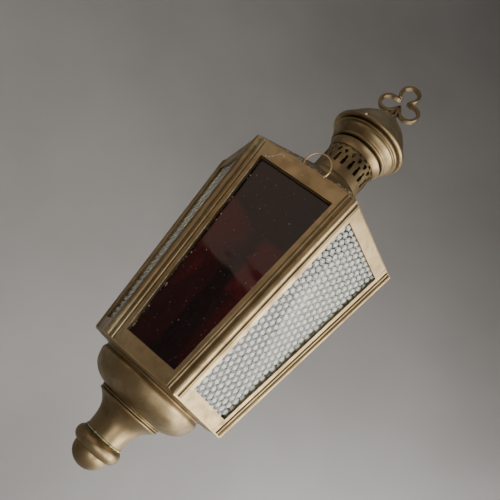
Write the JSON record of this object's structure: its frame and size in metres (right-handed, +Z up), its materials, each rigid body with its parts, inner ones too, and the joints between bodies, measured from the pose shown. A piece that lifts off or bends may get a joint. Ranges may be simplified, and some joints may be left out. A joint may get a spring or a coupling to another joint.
{
  "type": "candle lantern",
  "caption": "Six-sided brass candle lantern, wider at the top, with a ruby glass slide, textured clear panes, a pierced chimney, a domed cap with a trefoil finial and a turned bottom knob.",
  "frame": {"origin": "lowest point of the bottom knob, on the lantern's axis", "axes": "+Z up along the axis, -Y out of the ruby front face, +X to the right of that face"},
  "size_m": [0.1806, 0.1572, 0.4342],
  "materials": {
    "antique_brass": "satin antique brass, darkened, with greenish spots",
    "clear_glass": "clear glass pressed with rows of small bumps",
    "ruby_glass": "deep ruby red glass, smooth",
    "wax": "ivory candle wax",
    "wick": "charred cotton wick"
  },
  "bodies": {
    "lantern": {"post_front_right": "antique_brass", "post_right": "antique_brass", "post_back_right": "antique_brass", "post_back_left": "antique_brass", "post_left": "antique_brass", "post_front_left": "antique_brass", "top_rail_front": "antique_brass", "top_rail_front_right": "antique_brass", "top_rail_back_right": "antique_brass", "top_rail_back": "antique_brass", "top_rail_back_left": "antique_brass", "top_rail_front_left": "antique_brass", "bottom_rail_front": "antique_brass", "bottom_rail_front_right": "antique_brass", "bottom_rail_back_right": "antique_brass", "bottom_rail_back": "antique_brass", "bottom_rail_back_left": "antique_brass", "bottom_rail_front_left": "antique_brass", "pane_front_right": "clear_glass", "pane_back_right": "clear_glass", "pane_back": "clear_glass", "pane_back_left": "clear_glass", "pane_front_left": "clear_glass", "pane_clips": "antique_brass", "slide_guide_left": "antique_brass", "slide_guide_right": "antique_brass", "slide_stop": "antique_brass", "base_plate": "antique_brass", "bowl": "antique_brass", "neck_rings": "antique_brass", "neck": "antique_brass", "bottom_knob": "antique_brass", "roof": "antique_brass", "chimney_collar": "antique_brass", "gallery_tube": "antique_brass", "cap_collar": "antique_brass", "cap_skirt": "antique_brass", "cap_dome": "antique_brass", "trefoil": "antique_brass", "candle_socket": "antique_brass", "drip_pan": "antique_brass"},
    "slide": {"slide_frame": "antique_brass", "ruby_pane": "ruby_glass", "pull_loop": "antique_brass"},
    "candle": {"candle": "wax", "wick": "wick"}
  },
  "joints": [
    {"name": "front_slide", "type": "slide", "parent": "lantern", "child": "slide", "axis": [0, -0.1133, 0.9936], "range_m": [0, 0.15]},
    {"name": "candle_lift", "type": "slide", "parent": "lantern", "child": "candle", "axis": [0, 0, 1], "range_m": [0, 0.03]}
  ]
}
